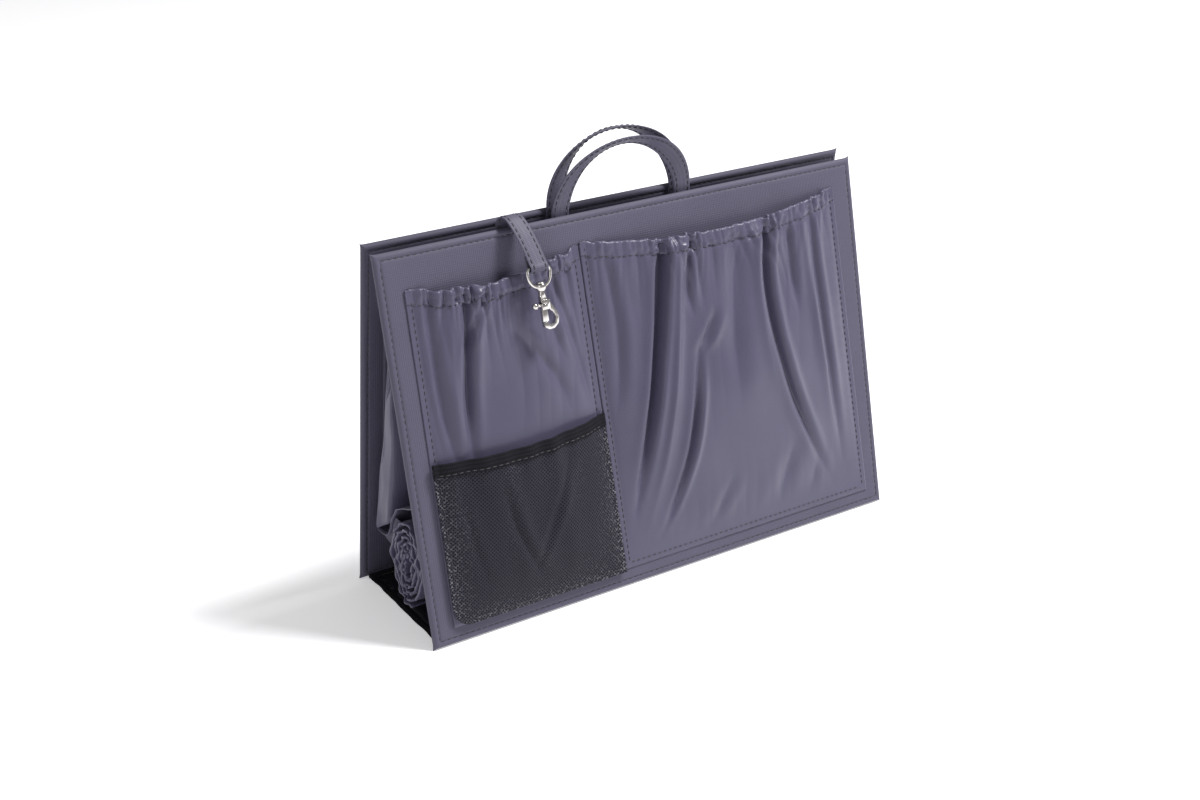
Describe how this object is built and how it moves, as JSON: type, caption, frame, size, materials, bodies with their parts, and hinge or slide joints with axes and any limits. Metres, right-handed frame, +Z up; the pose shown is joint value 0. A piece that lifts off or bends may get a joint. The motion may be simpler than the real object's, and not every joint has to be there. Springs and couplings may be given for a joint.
{
  "type": "tote bag organiser insert",
  "caption": "Stand-up fabric organiser for a tote bag: two stiff panels on a folding mesh base, with gathered pockets, carrying loops and a key clasp.",
  "frame": {"origin": "on the floor, under the middle of the base", "axes": "+X along the panels to the right as seen from the front, -Y out of the front pockets, +Z up"},
  "size_m": [0.343, 0.1091, 0.2779],
  "materials": {
    "cover_nylon": "plain woven nylon, slate violet, matt",
    "lining_nylon": "plain woven nylon lining",
    "pocket_nylon": "thin calendered nylon with a soft sheen",
    "strap_nylon": "folded nylon strap, stitched along both edges",
    "mat_nylon": "thin coated nylon, creased",
    "mesh": "black polyester net",
    "binding": "black ribbed elastic binding",
    "elastic": "flat braided elastic",
    "board": "stiff plastic sheet",
    "clasp_metal": "nickel plated die casting"
  },
  "bodies": {
    "rear_seam": {"rear_seam_bead": "binding"},
    "back_panel": {"back_cover": "cover_nylon", "back_board": "board", "back_lining": "lining_nylon", "back_outer_pocket": "pocket_nylon", "back_outer_elastic": "elastic", "back_inner_pocket": "lining_nylon", "back_handle_foot_left": "strap_nylon", "back_handle_foot_right": "strap_nylon"},
    "back_loop": {"back_handle": "strap_nylon"},
    "base_rear_half": {"base_rear": "mesh", "base_rear_hem_left": "binding", "base_rear_hem_right": "binding"},
    "base_front_half": {"base_front": "mesh", "base_front_hem_left": "binding", "base_front_hem_right": "binding"},
    "front_seam": {"front_seam_bead": "binding"},
    "front_panel": {"front_cover": "cover_nylon", "front_board": "board", "front_lining": "lining_nylon", "large_pocket": "pocket_nylon", "large_pocket_elastic": "elastic", "small_pocket": "pocket_nylon", "small_pocket_elastic": "elastic", "mesh_pocket": "mesh", "mesh_pocket_binding": "binding", "front_inner_pocket": "pocket_nylon", "front_handle_foot_left": "strap_nylon", "front_handle_foot_right": "strap_nylon", "key_strap_foot": "strap_nylon"},
    "front_loop": {"front_handle": "strap_nylon"},
    "key_strap": {"key_strap_tail": "strap_nylon"},
    "clasp_bow": {"clasp_bow": "clasp_metal"},
    "snap_hook": {"hook_body": "clasp_metal", "swivel_rivet": "clasp_metal", "gate_pin": "clasp_metal", "gate_spring": "clasp_metal"},
    "gate": {"gate_lever": "clasp_metal"},
    "mat_roll": {"changing_mat": "mat_nylon"}
  },
  "joints": [
    {"name": "back_panel_open", "type": "hinge", "parent": "rear_seam", "child": "back_panel", "pos_m": [0, 0.05265, 0.00073], "axis": [-1, 0, 0], "range_deg": [0, 70]},
    {"name": "back_loop_swing", "type": "hinge", "parent": "back_panel", "child": "back_loop", "pos_m": [-0.0025, 0.00971, 0.23306], "axis": [-1, 0, 0], "range_deg": [0, 75]},
    {"name": "base_rear_fold", "type": "hinge", "parent": "rear_seam", "child": "base_rear_half", "pos_m": [0, 0.04604, 0.0015], "axis": [-1, 0, 0], "range_deg": [0, 80], "deforming": ["front_inner_pocket", "changing_mat"]},
    {"name": "base_centre_fold", "type": "hinge", "parent": "base_rear_half", "child": "base_front_half", "pos_m": [0, 0.00003, 0], "axis": [1, 0, 0], "range_deg": [0, 160]},
    {"name": "base_front_fold", "type": "hinge", "parent": "base_front_half", "child": "front_seam", "pos_m": [0, -0.04598, 0.0015], "axis": [-1, 0, 0], "range_deg": [0, 58.25]},
    {"name": "front_panel_open", "type": "hinge", "parent": "front_seam", "child": "front_panel", "pos_m": [0, -0.05265, 0.00101], "axis": [1, 0, 0], "range_deg": [0, 70]},
    {"name": "front_loop_swing", "type": "hinge", "parent": "front_panel", "child": "front_loop", "pos_m": [-0.0025, 0.00468, 0.23022], "axis": [1, 0, 0], "range_deg": [0, 66]},
    {"name": "key_strap_lift", "type": "hinge", "parent": "front_panel", "child": "key_strap", "pos_m": [-0.084, 0.00468, 0.23022], "axis": [-1, 0, 0], "range_deg": [0, 75]},
    {"name": "clasp_bow_swing", "type": "hinge", "parent": "key_strap", "child": "clasp_bow", "pos_m": [-0.078, -0.02259, 0.21103], "axis": [-1, 0, 0], "range_deg": [0, 110]},
    {"name": "clasp_swivel", "type": "hinge", "parent": "clasp_bow", "child": "snap_hook", "pos_m": [-0.078, -0.02259, 0.21103], "axis": [0, 0.2192, 0.9757], "continuous": true},
    {"name": "gate_press", "type": "hinge", "parent": "snap_hook", "child": "gate", "pos_m": [-0.078, -0.02754, 0.18898], "axis": [0, -0.9757, 0.2192], "range_deg": [0, 18], "stiffness_Nm_per_rad": 0.02, "springref_deg": -17.19, "deforming": ["gate_spring"]},
    {"name": "mat_slide", "type": "slide", "parent": "base_front_half", "child": "mat_roll", "axis": [-1, 0, 0], "range_m": [0, 0.31]}
  ],
  "couplings": [
    {"joint": "base_centre_fold", "follows": "base_rear_fold", "ratio": 2},
    {"joint": "base_front_fold", "follows": "base_rear_fold", "ratio": 0.72813}
  ]
}
